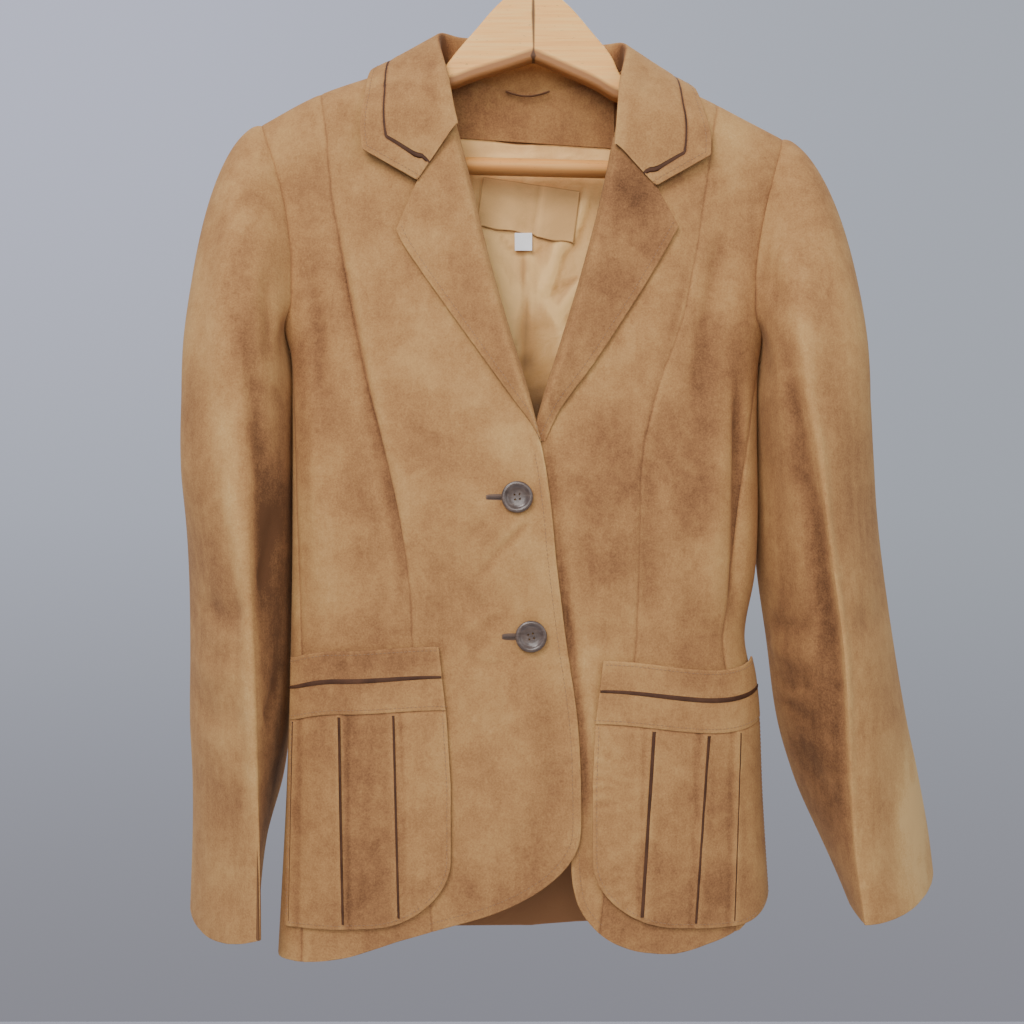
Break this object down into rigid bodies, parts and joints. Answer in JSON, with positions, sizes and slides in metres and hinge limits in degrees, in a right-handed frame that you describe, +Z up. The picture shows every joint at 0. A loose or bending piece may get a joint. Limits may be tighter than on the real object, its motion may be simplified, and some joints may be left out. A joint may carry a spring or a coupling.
{
  "type": "suede jacket on a hanger",
  "caption": "Hip-length single-breasted suede jacket with notched lapels, patch pockets and dark trim, hanging open-necked on a wooden hanger with a wire hook.",
  "frame": {"origin": "inside top of the hanger's hook, where a rail or peg carries it", "axes": "+Z up, -Y is the front of the jacket, +X is to the right as seen from the front"},
  "size_m": [0.5952, 0.1212, 0.839],
  "materials": {
    "suede": "napped golden-tan suede, matt",
    "leather": "smooth dark brown leather, low sheen",
    "satin": "pale gold satin",
    "label": "brown satin, bare",
    "tape": "white woven tape, bare",
    "button": "brown horn-like, polished",
    "wood": "pale softwood, clear lacquer",
    "steel": "bright wire"
  },
  "bodies": {
    "root": {"front_l": "suede", "front_r": "suede", "side_front_l": "suede", "side_front_r": "suede", "back_l": "suede", "back_r": "suede", "sleeve_upper_l": "suede", "sleeve_upper_r": "suede", "sleeve_under_l": "suede", "sleeve_under_r": "suede", "lapel_l": "suede", "lapel_r": "suede", "collar": "suede", "collar_border": "suede", "collar_piping": "leather", "neck_facing": "suede", "lining_back": "satin", "label": "label", "size_tag": "tape", "hang_loop": "leather", "pocket_l": "suede", "pocket_r": "suede", "pocket_band_l": "suede", "pocket_band_r": "suede", "pocket_trim_l_0": "leather", "pocket_trim_l_1": "leather", "pocket_trim_l_2": "leather", "pocket_trim_l_3": "leather", "pocket_trim_r_0": "leather", "pocket_trim_r_1": "leather", "pocket_trim_r_2": "leather", "pocket_trim_r_3": "leather", "button_upper": "button", "button_lower": "button", "buttonhole_upper": "leather", "buttonhole_lower": "leather", "hanger_arm_l": "wood", "hanger_arm_r": "wood", "hanger_rail": "wood", "hook": "steel"}
  },
  "joints": []
}
